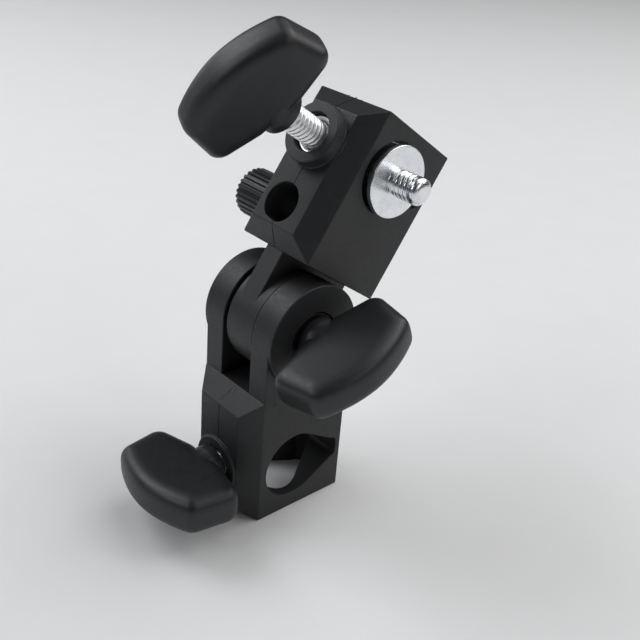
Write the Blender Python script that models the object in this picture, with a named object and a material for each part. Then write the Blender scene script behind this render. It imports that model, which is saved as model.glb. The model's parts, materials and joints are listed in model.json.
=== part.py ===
"""Umbrella swivel bracket: two moulded clamp blocks joined by a tilting hinge.

Metres, +Z up.  The lower block stands on the floor.  X is the hinge axis, -Y is the side
of the clamp knobs.  The upper block is modelled upright around the hinge and then tilted.
"""
import math

import bmesh
import bpy
from mathutils import Matrix, Vector

MM = 0.001

# ---- blocks ----------------------------------------------------------------------------
HALF_W = 11.1 * MM          # half width of both blocks along the hinge axis
SIDE_FRONT = -12.5 * MM     # where the side walls end and the front chamfers begin
PAD_FRONT = -16.7 * MM      # front pad that carries the clamp screw
BACK = 12.5 * MM
CHAMFER = 4.2 * MM
LOWER_TOP = 32.9 * MM
UPPER_BOTTOM = 13.4 * MM    # measured from the hinge axis, block upright
UPPER_TOP = 50.5 * MM

# ---- hinge -----------------------------------------------------------------------------
HINGE_Z = 46.7 * MM
TILT = math.radians(34.1)   # lean of the upper block away from the knob side
EAR_R = 12.5 * MM
EAR_INNER = 5.15 * MM       # half of the fork gap
EAR_DISC = 0.9 * MM         # how far the round pads stand proud of the ears
BARREL_R = 12.3 * MM
BARREL_HALF = 4.1 * MM
WEB_HALF = 2.7 * MM
FRICTION_R = 10.5 * MM
FRICTION_T = 0.5 * MM
HINGE_HOLE_R = 3.6 * MM

# ---- sockets and clamp screws ----------------------------------------------------------
BORE_R = 8.3 * MM           # for 5/8 inch stand spigots
BORE_Y = -2.4 * MM
LOWER_BORE_Z = 12.1 * MM
UPPER_BORE_Z = 38.9 * MM
GROOVE_END = 11.0 * MM      # where the groove stops, short of the back wall
GROOVE_TIP = 2.8 * MM       # half height of the groove at its end
SOCKET_DEPTH = 25.0 * MM    # stand socket up the lower block
TOP_SOCKET_DEPTH = 21.0 * MM
BOSS_R = 7.1 * MM
BOSS_LEN = 3.0 * MM         # collar on the upper block
LOWER_BOSS_LEN = 0.8 * MM   # shallow collar on the lower block
INSERT_R = 4.35 * MM        # threaded bush pressed into the boss
INSERT_LEN = 4.6 * MM
INSERT_DEEP = 1.5 * MM      # bush face below the boss rim
NUT_AF = 11.0 * MM          # captive hinge nut
NUT_LEN = 5.0 * MM
SCREW_R = 3.175 * MM        # 1/4 inch thread
SCREW_ROOT = 2.62 * MM
PITCH = 1.27 * MM
SCREW_HOLE_R = 3.6 * MM

# ---- paddle knobs ----------------------------------------------------------------------
KNOB_WIDE = (16.62 * MM, 4.18 * MM)     # widest corner: half width, height from the hub end
KNOB_TIP = (14.62 * MM, 16.26 * MM)     # corner where the straight side meets the arc
KNOB_ARC_HALF = 13.5 * MM
KNOB_ARC_DROP = 3.4 * MM
KNOB_APEX = 20.2 * MM
KNOB_T = 9.4 * MM
KNOB_EDGE = 2.8 * MM        # fillet between the broad faces and the rim
KNOB_ROUND = 1.3 * MM       # corner radius of the outline
HUB_R = 5.3 * MM
HUB_LEN = 1.4 * MM
KNOB_HOLE = 9.0 * MM
UPPER_KNOB_OFF = 13.3 * MM  # hub end to front pad
LOWER_KNOB_OFF = 1.3 * MM
HINGE_KNOB_OFF = 0.4 * MM   # hub end to ear pad
UPPER_KNOB_TURN = math.radians(61.5)
LOWER_KNOB_TURN = math.radians(1.5)
HINGE_KNOB_TURN = math.radians(112.4)

# ---- umbrella lock ---------------------------------------------------------------------
UMB_R = 4.6 * MM
UMB_X = -0.8 * MM
UMB_Z = 22.85 * MM
THUMB_Y = -2.1 * MM
THUMB_R = 6.0 * MM
THUMB_LEN = 11.0 * MM
THUMB_OFF = 3.1 * MM
THUMB_TEETH = 26
M5_R = 2.4 * MM
M5_ROOT = 2.0 * MM
M5_PITCH = 0.8 * MM

# ---- spigot adapter --------------------------------------------------------------------
SPIGOT_R = 7.75 * MM
SPIGOT_Y = -1.4 * MM
FLANGE_R = 8.4 * MM
FLANGE_T = 1.5 * MM
STUD_LEN = 7.8 * MM

GAP = 0.3 * MM
SHIFT = Vector((-3.668 * MM, -0.264 * MM, 0.0))


# ---- scene helpers ---------------------------------------------------------------------
def clear_scene():
    for ob in list(bpy.data.objects):
        bpy.data.objects.remove(ob, do_unlink=True)


def make_material(name, colour, roughness, metallic):
    mat = bpy.data.materials.new(name)
    mat.use_nodes = True
    bsdf = mat.node_tree.nodes["Principled BSDF"]
    bsdf.inputs["Base Color"].default_value = (colour[0], colour[1], colour[2], 1.0)
    bsdf.inputs["Roughness"].default_value = roughness
    bsdf.inputs["Metallic"].default_value = metallic
    mat.diffuse_color = (colour[0], colour[1], colour[2], 1.0)
    return mat


def object_from_bmesh(bm, name):
    bmesh.ops.remove_doubles(bm, verts=bm.verts, dist=1e-7)
    bmesh.ops.recalc_face_normals(bm, faces=bm.faces)
    mesh = bpy.data.meshes.new(name)
    bm.to_mesh(mesh)
    bm.free()
    ob = bpy.data.objects.new(name, mesh)
    bpy.context.scene.collection.objects.link(ob)
    return ob


def remove_object(ob):
    mesh = ob.data
    bpy.data.objects.remove(ob, do_unlink=True)
    bpy.data.meshes.remove(mesh)


def boolean(ob, tool, operation):
    """Apply a boolean with the exact solver and drop the tool."""
    mod = ob.modifiers.new("cut", "BOOLEAN")
    mod.operation = operation
    mod.solver = "EXACT"
    mod.object = tool
    graph = bpy.context.evaluated_depsgraph_get()
    graph.update()
    mesh = bpy.data.meshes.new_from_object(ob.evaluated_get(graph))
    old = ob.data
    ob.modifiers.clear()
    ob.data = mesh
    bpy.data.meshes.remove(old)
    remove_object(tool)


def cut(ob, *tools):
    for tool in tools:
        boolean(ob, tool, "DIFFERENCE")


def join(ob, *tools):
    for tool in tools:
        boolean(ob, tool, "UNION")


def tidy(ob):
    """Merge stray points and flat faces left by the booleans."""
    bm = bmesh.new()
    bm.from_mesh(ob.data)
    bmesh.ops.remove_doubles(bm, verts=bm.verts, dist=2e-6)
    bmesh.ops.dissolve_limit(bm, angle_limit=0.002, verts=bm.verts, edges=bm.edges)
    bmesh.ops.triangulate(bm, faces=[f for f in bm.faces if len(f.verts) > 4])
    bmesh.ops.recalc_face_normals(bm, faces=bm.faces)
    bm.to_mesh(ob.data)
    bm.free()


def finish_part(ob, name, material, frame, at=(0, 0, 0), axis="Z", turn=0.0):
    """Name the piece, give it its material and stand it in the given frame."""
    ob.name = name
    ob.data.name = name
    ob.data.materials.clear()
    ob.data.materials.append(material)
    ob.matrix_world = frame @ Matrix.Translation(Vector(at)) @ AXES[axis] @ Matrix.Rotation(turn, 4, "Z")
    return ob


# rotation that takes a piece built along +Z onto the named direction
AXES = {
    "Z": Matrix.Identity(4),
    "-Y": Matrix.Rotation(math.radians(90), 4, "X"),
    "X": Matrix.Rotation(math.radians(90), 4, "Y"),
    "-X": Matrix.Rotation(math.radians(-90), 4, "Y"),
}


# ---- solids ----------------------------------------------------------------------------
def prism(outline, axis, lo, hi, name="prism"):
    """Extrude a closed outline of 2-D points along an axis from lo to hi."""
    bm = bmesh.new()
    rings = []
    for level in (lo, hi):
        ring = []
        for a, b in outline:
            co = {"X": (level, a, b), "Y": (a, level, b), "Z": (a, b, level)}[axis]
            ring.append(bm.verts.new(co))
        rings.append(ring)
    count = len(outline)
    for i in range(count):
        j = (i + 1) % count
        bm.faces.new((rings[0][i], rings[0][j], rings[1][j], rings[1][i]))
    bm.faces.new(rings[0])
    bm.faces.new(rings[1])
    return object_from_bmesh(bm, name)


def circle(radius, cx=0.0, cy=0.0, count=48, start=0.0):
    points = []
    for i in range(count):
        a = start + 2 * math.pi * i / count
        points.append((cx + radius * math.cos(a), cy + radius * math.sin(a)))
    return points


def lathe(profile, count=48, name="lathe"):
    """Turn (radius, height) pairs about Z; a zero radius closes the end."""
    bm = bmesh.new()
    rings = []
    for radius, height in profile:
        if radius == 0.0:
            rings.append([bm.verts.new((0, 0, height))])
            continue
        rings.append([bm.verts.new((x, y, height)) for x, y in circle(radius, count=count)])
    for low, high in zip(rings, rings[1:]):
        for i in range(count):
            j = (i + 1) % count
            if len(low) == 1:
                bm.faces.new((low[0], high[i], high[j]))
            elif len(high) == 1:
                bm.faces.new((low[i], low[j], high[0]))
            else:
                bm.faces.new((low[i], low[j], high[j], high[i]))
    if len(rings[0]) > 1 and len(rings[-1]) > 1:
        low, high = rings[-1], rings[0]
        for i in range(count):
            j = (i + 1) % count
            bm.faces.new((low[i], low[j], high[j], high[i]))
    return object_from_bmesh(bm, name)


def pad_block(z0, z1, name):
    """Block whose front pad is framed by four chamfers."""
    bm = bmesh.new()
    pad = HALF_W - CHAMFER
    levels = ((BACK, HALF_W, z0, z1), (SIDE_FRONT, HALF_W, z0, z1),
              (PAD_FRONT, pad, z0 + CHAMFER, z1 - CHAMFER))
    rings = []
    for y, w, low, high in levels:
        corners = ((-w, low), (w, low), (w, high), (-w, high))
        rings.append([bm.verts.new((x, y, z)) for x, z in corners])
    for near, far in zip(rings, rings[1:]):
        for i in range(4):
            j = (i + 1) % 4
            bm.faces.new((near[i], near[j], far[j], far[i]))
    bm.faces.new(rings[0])
    bm.faces.new(rings[-1])
    return object_from_bmesh(bm, name)


def groove_outline(cy, cz, flip=1.0, count=40):
    """Round bore that opens into a tapering groove towards +Y."""
    run = GROOVE_END - 0.8 * MM - cy
    touch = math.atan2(GROOVE_TIP, run) + math.acos(BORE_R / math.hypot(run, GROOVE_TIP))
    points = []
    for i in range(count + 1):
        a = touch + (2 * math.pi - 2 * touch) * i / count
        points.append((cy + BORE_R * math.cos(a), cz + flip * BORE_R * math.sin(a)))
    points.append((GROOVE_END - 0.8 * MM, cz - flip * GROOVE_TIP))
    points.append((GROOVE_END, cz - flip * (GROOVE_TIP - 0.8 * MM)))
    points.append((GROOVE_END, cz + flip * (GROOVE_TIP - 0.8 * MM)))
    points.append((GROOVE_END - 0.8 * MM, cz + flip * GROOVE_TIP))
    return points


def bore_tools(z_bore, z_open, z_end):
    """Cross bore along X and the upright socket that meets it."""
    cross = prism(groove_outline(BORE_Y, z_bore), "X", -20 * MM, 20 * MM)
    upright = prism([(b, a) for a, b in groove_outline(BORE_Y, 0.0)], "Z",
                    min(z_open, z_end), max(z_open, z_end))
    return cross, upright


def threaded_rod(length, crest, root, pitch, name, turns_from=0.0, plain_root=0.0, count=12,
                 samples=2, chamfer=0.5 * MM):
    """Rod along +Z from 0 with a helical thread starting at turns_from."""
    bm = bmesh.new()
    z0 = turns_from
    z1 = length - chamfer
    turns = int((z1 - z0) / pitch) + 3
    shape = [root, crest] if samples == 2 else [root, root, crest, crest]
    rows = []
    for i in range(samples * turns):
        row = []
        for j in range(count + 1):
            z = z0 + pitch * (i / samples + j / count) - pitch
            radius = shape[i % samples]
            if z <= z0 + 1e-9 or z >= z1 - 1e-9:
                z = min(max(z, z0), z1)
                radius = root
            a = 2 * math.pi * j / count
            row.append((radius * math.cos(a), radius * math.sin(a), z))
        rows.append(row)
    quads = []
    for low, high in zip(rows, rows[1:]):
        for j in range(count):
            quads.append((low[j], low[j + 1], high[j + 1], high[j]))
    lookup = {}

    def vert(co):
        key = tuple(round(c * 1e8) for c in co)
        if key not in lookup:
            lookup[key] = bm.verts.new(co)
        return lookup[key]

    done = set()
    for quad in quads:
        ring = []
        for co in quad:
            v = vert(co)
            if v not in ring:
                ring.append(v)
        if len(ring) < 3 or len({round(v.co.z * 1e8) for v in ring}) == 1:
            continue
        key = frozenset(ring)
        if key in done:
            continue
        done.add(key)
        bm.faces.new(ring)
    ends = [[vert((root * math.cos(2 * math.pi * j / count), root * math.sin(2 * math.pi * j / count), z))
             for j in range(count)] for z in (z0, z1)]
    tip = [vert((0.78 * root * math.cos(2 * math.pi * j / count),
                 0.78 * root * math.sin(2 * math.pi * j / count), length)) for j in range(count)]
    if z0 > 0:
        base_r = plain_root if plain_root else root
        shoulder = [vert((base_r * math.cos(2 * math.pi * j / count),
                          base_r * math.sin(2 * math.pi * j / count), z0)) for j in range(count)]
        base = [vert((base_r * math.cos(2 * math.pi * j / count),
                      base_r * math.sin(2 * math.pi * j / count), 0.0)) for j in range(count)]
    for j in range(count):
        k = (j + 1) % count
        bm.faces.new((ends[1][j], ends[1][k], tip[k], tip[j]))
        if z0 > 0:
            if base_r != root:
                bm.faces.new((shoulder[j], shoulder[k], ends[0][k], ends[0][j]))
            bm.faces.new((base[j], base[k], shoulder[k], shoulder[j]))
    bm.faces.new(tip)
    bm.faces.new(base if z0 > 0 else ends[0])
    return object_from_bmesh(bm, name)


def hex_nut(af, height, bore, name, washer=0.93):
    """Hexagon nut about Z with chamfered faces."""
    nut = prism(circle(af / math.sqrt(3), count=6), "Z", 0.0, height, name)
    rim = af / math.sqrt(3)
    trim = lathe([(0.0, -1 * MM), (af * 0.5 * washer, -1 * MM), (af * 0.5 * washer, 0.0),
                  (rim + 0.2 * MM, 0.9 * MM), (rim + 0.2 * MM, height - 0.9 * MM),
                  (af * 0.5 * washer, height), (af * 0.5 * washer, height + 1 * MM),
                  (0.0, height + 1 * MM)], 36)
    boolean(nut, trim, "INTERSECT")
    cut(nut, prism(circle(bore, count=24), "Z", -1 * MM, height + 1 * MM))
    tidy(nut)
    return nut


def shrink(outline, amount):
    """Move every side of a convex anticlockwise outline inwards and keep what is left."""
    result = [Vector(p) for p in outline]
    for start, end in zip(outline, outline[1:] + outline[:1]):
        along = (Vector(end) - Vector(start)).normalized()
        inward = Vector((-along.y, along.x))
        limit = inward.dot(Vector(start)) + amount
        kept = []
        for p, q in zip(result, result[1:] + result[:1]):
            a = inward.dot(p) - limit
            b = inward.dot(q) - limit
            if a >= 0:
                kept.append(p)
            if (a >= 0) != (b >= 0):
                kept.append(p + (q - p) * (a / (a - b)))
        result = kept
    return result


def rounded_ring(outline, amount, radius, count):
    """Outline moved inwards by amount, its corners rounded, as count points."""
    core = shrink(outline, amount + radius)
    ring = []
    for i in range(count):
        a = 2 * math.pi * (i + 0.5) / count
        out = Vector((math.cos(a), math.sin(a)))
        ring.append(max(core, key=out.dot) + out * radius)
    return ring


def knob_outline():
    """Outline of a paddle knob across the screw axis: (across, outward), sharp corners."""
    arc = []
    for i in range(1, 16):
        u = 1 - i / 8.0
        arc.append((KNOB_ARC_HALF * u, KNOB_APEX - KNOB_ARC_DROP * abs(u) ** 1.9))
    right = [(HUB_R + 0.3 * MM, HUB_LEN), KNOB_WIDE, KNOB_TIP]
    return right + arc + [(-x, z) for x, z in reversed(right)]


def paddle_knob(name):
    """D-shaped paddle knob, screw axis on Z, hub end at z = 0."""
    outline = knob_outline()
    half = KNOB_T / 2
    bm = bmesh.new()
    rings = []
    steps = []
    for deg in (90, 67.5, 45, 22.5, 0):
        a = math.radians(deg)
        steps.append((KNOB_EDGE * (1 - math.cos(a)), half - KNOB_EDGE * (1 - math.sin(a))))
    for inward, y in steps + [(s, -y) for s, y in reversed(steps)]:
        ring = rounded_ring(outline, inward, KNOB_ROUND, 56)
        rings.append([bm.verts.new((p.x, y, p.y)) for p in ring])
    count = len(rings[0])
    for near, far in zip(rings, rings[1:]):
        for i in range(count):
            j = (i + 1) % count
            bm.faces.new((near[i], near[j], far[j], far[i]))
    bm.faces.new(rings[0])
    bm.faces.new(rings[-1])
    knob = object_from_bmesh(bm, name)
    join(knob, lathe([(0.0, 0.0), (HUB_R - 0.6 * MM, 0.0), (HUB_R, 0.6 * MM), (HUB_R + 0.2 * MM, 6 * MM),
                      (0.0, 6 * MM)], 32))
    cut(knob, prism(circle(SCREW_R + 0.2 * MM, count=24), "Z", -1 * MM, KNOB_HOLE))
    tidy(knob)
    return knob


# ---- lower block -----------------------------------------------------------------------
def ear_outline():
    points = [(SIDE_FRONT, LOWER_TOP - 1 * MM)]
    points.append((BACK, LOWER_TOP - 1 * MM))
    for i in range(25):
        a = math.pi * i / 24
        points.append((EAR_R * math.cos(a), HINGE_Z + EAR_R * math.sin(a)))
    return points


def boss(z, length):
    """Collar that carries the clamp bush on the front pad."""
    return prism(circle(BOSS_R, 0.0, z, 40), "Y", PAD_FRONT - length, PAD_FRONT + 1 * MM)


def clamp_hole(z, length):
    depth = PAD_FRONT - length
    pocket = prism(circle(INSERT_R + 0.25 * MM, 0.0, z, 32), "Y", depth - 1 * MM,
                   depth + INSERT_DEEP + INSERT_LEN + GAP)
    hole = prism(circle(SCREW_HOLE_R, 0.0, z, 24), "Y", depth - 2 * MM, BORE_Y)
    return pocket, hole


def build_lower_body(material, frame):
    body = pad_block(0.0, LOWER_TOP, "lower_body")
    for side in (-1, 1):
        lo, hi = sorted((side * EAR_INNER, side * HALF_W))
        ear = prism(ear_outline(), "X", lo, hi)
        join(body, ear)
        lo, hi = sorted((side * (HALF_W - 1 * MM), side * (HALF_W + EAR_DISC)))
        join(body, prism(circle(EAR_R, 0.0, HINGE_Z, 48), "X", lo, hi))
    join(body, boss(LOWER_BORE_Z, LOWER_BOSS_LEN))
    cross, upright = bore_tools(LOWER_BORE_Z, -5 * MM, SOCKET_DEPTH)
    cut(body, cross, upright, *clamp_hole(LOWER_BORE_Z, LOWER_BOSS_LEN))
    cut(body, prism(circle(HINGE_HOLE_R, 0.0, HINGE_Z, 24), "X", -20 * MM, 20 * MM))
    cut(body, prism(circle(NUT_AF / math.sqrt(3) + 0.25 * MM, 0.0, HINGE_Z, 6, math.pi / 2), "X",
                    -20 * MM, -(HALF_W + EAR_DISC) + NUT_LEN + 0.5 * MM))
    cut(body, prism(circle(6.2 * MM, 0.0, HINGE_Z, 32), "X", HALF_W + EAR_DISC - 1.2 * MM, 20 * MM))
    tidy(body)
    return finish_part(body, "lower_body", material, frame)


def build_upper_body(material, frame):
    body = pad_block(UPPER_BOTTOM, UPPER_TOP, "upper_body")
    web = [(-BARREL_R, 0.0), (BARREL_R, 0.0), (BARREL_R, UPPER_BOTTOM + 1 * MM),
           (-BARREL_R, UPPER_BOTTOM + 1 * MM)]
    join(body, prism(web, "X", -WEB_HALF, WEB_HALF))
    join(body, prism(circle(BARREL_R, count=48), "X", -BARREL_HALF, BARREL_HALF))
    join(body, boss(UPPER_BORE_Z, BOSS_LEN))
    cross, upright = bore_tools(UPPER_BORE_Z, UPPER_TOP + 5 * MM, UPPER_TOP - TOP_SOCKET_DEPTH)
    cut(body, cross, upright, *clamp_hole(UPPER_BORE_Z, BOSS_LEN))
    cut(body, prism(circle(UMB_R, UMB_X, UMB_Z, 36), "Y", -25 * MM, 25 * MM))
    cut(body, prism(circle(3.6 * MM, THUMB_Y, UMB_Z, 24), "X", -20 * MM, 0.0))
    cut(body, prism(circle(HINGE_HOLE_R, 0.0, 0.0, 24), "X", -20 * MM, 20 * MM))
    tidy(body)
    return finish_part(body, "upper_body", material, frame)


# ---- clamp hardware --------------------------------------------------------------------
def build_clamp(prefix, frame, origin, axis, knob_off, tip, turn, mats):
    """Knob and threaded stud on one screw axis.

    origin is the point of the axis on the seating face, the knob is knob_off outside it and
    the stud reaches tip inside it.
    """
    knob = paddle_knob(prefix + "_knob")
    shift = Matrix.Translation((0, 0, knob_off))
    local = frame @ Matrix.Translation(Vector(origin)) @ AXES[axis]
    finish_part(knob, prefix + "_knob", mats["knob"], local @ shift, turn=turn)
    inside = KNOB_HOLE - GAP
    stud = threaded_rod(inside + knob_off + tip, SCREW_R, SCREW_ROOT, PITCH, prefix + "_screw",
                        turns_from=inside - 2 * MM, plain_root=SCREW_R)
    turn_over = Matrix.Rotation(math.pi, 4, "X")
    finish_part(stud, prefix + "_screw", mats["steel"], local @ Matrix.Translation((0, 0, knob_off + inside)) @ turn_over)
    return knob, stud


def threaded_insert(name, material, frame, origin, axis, face):
    """Round threaded bush whose outer face sits at the given height on its axis."""
    inner = SCREW_R + 0.2 * MM
    low = face - INSERT_LEN
    ring = lathe([(inner, low), (INSERT_R, low), (INSERT_R, face - 0.4 * MM), (INSERT_R - 0.4 * MM, face),
                  (inner + 0.5 * MM, face), (inner, face - 0.5 * MM)], 32)
    return finish_part(ring, name, material, frame, origin, axis)


def build_spigot(material, frame):
    face = HALF_W + GAP
    end = -HALF_W + 2.5 * MM
    length = face - end
    profile = [(0.0, 0.0), (SPIGOT_R - 1 * MM, 0.0), (SPIGOT_R, 1 * MM), (SPIGOT_R, 5 * MM),
               (SPIGOT_R - 0.9 * MM, 5.9 * MM), (SPIGOT_R - 0.9 * MM, length - 7.4 * MM),
               (SPIGOT_R, length - 6.5 * MM), (SPIGOT_R, length), (FLANGE_R, length),
               (FLANGE_R, length + FLANGE_T - 0.2 * MM), (FLANGE_R - 0.2 * MM, length + FLANGE_T),
               (0.0, length + FLANGE_T)]
    body = lathe(profile, 48, "spigot")
    stud = threaded_rod(STUD_LEN + 1 * MM, SCREW_R, SCREW_ROOT, PITCH, "stud", turns_from=2.0 * MM,
                        plain_root=SCREW_R, chamfer=0.6 * MM)
    stud.data.transform(Matrix.Translation((0, 0, length + FLANGE_T - 1 * MM)))
    join(body, stud)
    tidy(body)
    at = (end, SPIGOT_Y, UPPER_BORE_Z)
    return finish_part(body, "spigot_adapter", material, frame, at, "X")


def build_thumb(mats, frame):
    teeth = []
    for i in range(THUMB_TEETH):
        for part, radius in ((0.0, THUMB_R), (0.42, THUMB_R), (0.55, THUMB_R - 0.55 * MM),
                             (0.87, THUMB_R - 0.55 * MM)):
            a = 2 * math.pi * (i + part) / THUMB_TEETH
            teeth.append((radius * math.cos(a), radius * math.sin(a)))
    grip = prism(teeth, "Z", 0.0, THUMB_LEN)
    join(grip, lathe([(0.0, -1.2 * MM), (4.2 * MM, -1.2 * MM), (4.2 * MM, 0.5 * MM), (0.0, 0.5 * MM)], 28))
    cut(grip, prism(circle(M5_R + 0.2 * MM, count=20), "Z", -3 * MM, 5.0 * MM))
    cut(grip, lathe([(0.0, THUMB_LEN - 0.8 * MM), (3.2 * MM, THUMB_LEN - 0.8 * MM), (3.6 * MM, THUMB_LEN + 1 * MM),
                     (0.0, THUMB_LEN + 1 * MM)], 28))
    tidy(grip)
    base = (-HALF_W, THUMB_Y, UMB_Z)
    local = frame @ Matrix.Translation(base) @ AXES["-X"]
    finish_part(grip, "thumb_grip", mats["grip"], local @ Matrix.Translation((0, 0, THUMB_OFF)))
    reach = HALF_W + UMB_X - UMB_R - 0.2 * MM
    stud = threaded_rod(THUMB_OFF + 4.6 * MM + reach, M5_R, M5_ROOT, M5_PITCH, "thumb_screw",
                        turns_from=4.0 * MM, plain_root=M5_R, count=10)
    turn_over = Matrix.Rotation(math.pi, 4, "X")
    finish_part(stud, "thumb_screw", mats["steel"],
                local @ Matrix.Translation((0, 0, THUMB_OFF + 4.6 * MM)) @ turn_over)
    insert = lathe([(M5_R + 0.2 * MM, -5.5 * MM), (3.35 * MM, -5.5 * MM), (3.35 * MM, -0.2 * MM), (M5_R + 0.2 * MM, -0.2 * MM)], 24)
    finish_part(insert, "thumb_insert", mats["brass"], local)


def build_washer(name, material, frame, inner, outer, thick, x):
    ring = lathe([(inner, 0.0), (outer, 0.0), (outer, thick), (inner, thick)], 40)
    return finish_part(ring, name, material, frame, (x, 0, 0), "X")


def main():
    clear_scene()
    mats = {
        "body": make_material("black_moulding", (0.032, 0.033, 0.035), 0.62, 0.0),
        "upper": make_material("black_moulding_upper", (0.034, 0.035, 0.037), 0.6, 0.0),
        "knob": make_material("knob_black", (0.026, 0.027, 0.030), 0.45, 0.0),
        "grip": make_material("grip_black", (0.022, 0.022, 0.024), 0.5, 0.0),
        "steel": make_material("zinc_steel", (0.72, 0.73, 0.74), 0.3, 1.0),
        "spigot": make_material("turned_steel", (0.74, 0.74, 0.74), 0.26, 1.0),
        "brass": make_material("brass_insert", (0.72, 0.56, 0.28), 0.35, 1.0),
        "pad": make_material("friction_rubber", (0.02, 0.02, 0.02), 0.9, 0.0),
    }
    base = Matrix.Translation(SHIFT)
    hinge = base @ Matrix.Translation((0, 0, HINGE_Z))
    upper = hinge @ Matrix.Rotation(-TILT, 4, "X")

    build_lower_body(mats["body"], base)
    build_upper_body(mats["upper"], upper)

    build_clamp("lower", base, (0, PAD_FRONT, LOWER_BORE_Z), "-Y", LOWER_KNOB_OFF, 9.5 * MM,
                LOWER_KNOB_TURN, mats)
    threaded_insert("lower_insert", mats["steel"], base, (0, PAD_FRONT, LOWER_BORE_Z), "-Y",
                    LOWER_BOSS_LEN - INSERT_DEEP)
    screw_tip = (SPIGOT_Y - SPIGOT_R - GAP) - PAD_FRONT
    build_clamp("upper", upper, (0, PAD_FRONT, UPPER_BORE_Z), "-Y", UPPER_KNOB_OFF, screw_tip,
                UPPER_KNOB_TURN, mats)
    threaded_insert("upper_insert", mats["steel"], upper, (0, PAD_FRONT, UPPER_BORE_Z), "-Y",
                    BOSS_LEN - INSERT_DEEP)
    disc = HALF_W + EAR_DISC
    build_clamp("hinge", hinge, (disc, 0, 0), "X", HINGE_KNOB_OFF, 2 * disc - 0.6 * MM,
                HINGE_KNOB_TURN, mats)
    nut = hex_nut(NUT_AF, NUT_LEN, SCREW_R + 0.2 * MM, "hinge_nut")
    finish_part(nut, "hinge_nut", mats["steel"], hinge, (-disc + 0.2 * MM, 0, 0), "X")
    build_washer("hinge_washer", mats["steel"], hinge, SCREW_R + 0.3 * MM, 5.9 * MM, 0.8 * MM,
                 disc - 1.0 * MM)
    slot = (EAR_INNER - BARREL_HALF - FRICTION_T) / 2
    build_washer("friction_near", mats["pad"], hinge, 4.2 * MM, FRICTION_R, FRICTION_T, BARREL_HALF + slot)
    build_washer("friction_far", mats["pad"], hinge, 4.2 * MM, FRICTION_R, FRICTION_T,
                 -EAR_INNER + slot)
    build_spigot(mats["spigot"], upper)
    build_thumb(mats, upper)


main()
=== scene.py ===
import json
import math

import bmesh
import bpy
from mathutils import Matrix, Vector


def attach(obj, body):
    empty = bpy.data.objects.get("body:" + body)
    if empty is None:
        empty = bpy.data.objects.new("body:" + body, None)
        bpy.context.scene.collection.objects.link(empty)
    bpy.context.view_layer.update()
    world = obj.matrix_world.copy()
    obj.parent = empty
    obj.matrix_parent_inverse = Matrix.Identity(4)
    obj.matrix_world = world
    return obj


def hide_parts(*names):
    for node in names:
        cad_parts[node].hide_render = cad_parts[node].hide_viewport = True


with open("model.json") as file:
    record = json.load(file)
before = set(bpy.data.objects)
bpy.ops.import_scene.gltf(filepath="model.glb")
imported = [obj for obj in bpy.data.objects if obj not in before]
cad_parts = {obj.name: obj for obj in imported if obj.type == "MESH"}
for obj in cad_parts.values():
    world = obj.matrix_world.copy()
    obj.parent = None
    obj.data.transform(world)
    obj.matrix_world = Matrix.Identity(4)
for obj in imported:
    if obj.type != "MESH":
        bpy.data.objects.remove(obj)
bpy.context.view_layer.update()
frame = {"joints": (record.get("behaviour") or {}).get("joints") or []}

MM = 0.001

# ---- places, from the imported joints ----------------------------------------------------
joints = {j["name"]: j for j in frame["joints"]}
HINGE = Vector(joints["tilt"]["pos_m"])
lean = Vector(joints["upper_advance"]["axis"])
TILT = math.atan2(lean.z, -lean.y)
HINGE_Z = HINGE.z
BASE_FRAME = Matrix.Translation((HINGE.x, HINGE.y, 0.0))
HINGE_FRAME = Matrix.Translation(HINGE)
UPPER_FRAME = HINGE_FRAME @ Matrix.Rotation(-TILT, 4, "X")

# ---- sizes, as in the CAD ------------------------------------------------------------------
HALF_W = 11.1 * MM
SIDE_FRONT = -12.5 * MM
PAD_FRONT = -16.7 * MM
BACK = 12.5 * MM
CHAMFER = 4.2 * MM
LOWER_TOP = 32.9 * MM
UPPER_BOTTOM = 13.4 * MM
UPPER_TOP = 50.5 * MM
EAR_R = 12.5 * MM
EAR_INNER = 5.15 * MM
EAR_DISC = 0.9 * MM
BARREL_R = 12.3 * MM
BARREL_HALF = 4.1 * MM
WEB_HALF = 2.7 * MM
FRICTION_R = 10.5 * MM
FRICTION_T = 0.5 * MM
HINGE_HOLE_R = 3.6 * MM
BORE_R = 8.3 * MM
BORE_Y = -2.4 * MM
LOWER_BORE_Z = 12.1 * MM
UPPER_BORE_Z = 38.9 * MM
GROOVE_END = 11.0 * MM
GROOVE_TIP = 2.8 * MM
SOCKET_DEPTH = 25.0 * MM
TOP_SOCKET_DEPTH = 21.0 * MM
BOSS_R = 7.1 * MM
BOSS_LEN = 3.0 * MM
LOWER_BOSS_LEN = 0.8 * MM
INSERT_R = 4.35 * MM
INSERT_LEN = 4.6 * MM
INSERT_DEEP = 1.5 * MM
NUT_AF = 11.0 * MM
NUT_LEN = 5.0 * MM
SCREW_R = 3.175 * MM
SCREW_ROOT = 2.62 * MM
PITCH = 1.27 * MM
SCREW_HOLE_R = 3.6 * MM
KNOB_WIDE = (16.62 * MM, 4.18 * MM)
KNOB_TIP = (14.62 * MM, 16.26 * MM)
KNOB_ARC_HALF = 13.5 * MM
KNOB_ARC_DROP = 3.4 * MM
KNOB_APEX = 20.2 * MM
KNOB_T = 9.4 * MM
HUB_R = 5.3 * MM
HUB_LEN = 1.4 * MM
KNOB_HOLE = 9.0 * MM
UPPER_KNOB_OFF = 13.3 * MM
LOWER_KNOB_OFF = 1.3 * MM
HINGE_KNOB_OFF = 0.4 * MM
UPPER_KNOB_TURN = math.radians(61.5)
LOWER_KNOB_TURN = math.radians(1.5)
HINGE_KNOB_TURN = math.radians(112.4)
UMB_R = 4.6 * MM
UMB_X = -0.8 * MM
UMB_Z = 22.85 * MM
THUMB_Y = -2.1 * MM
THUMB_R = 6.0 * MM
THUMB_LEN = 11.0 * MM
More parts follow.
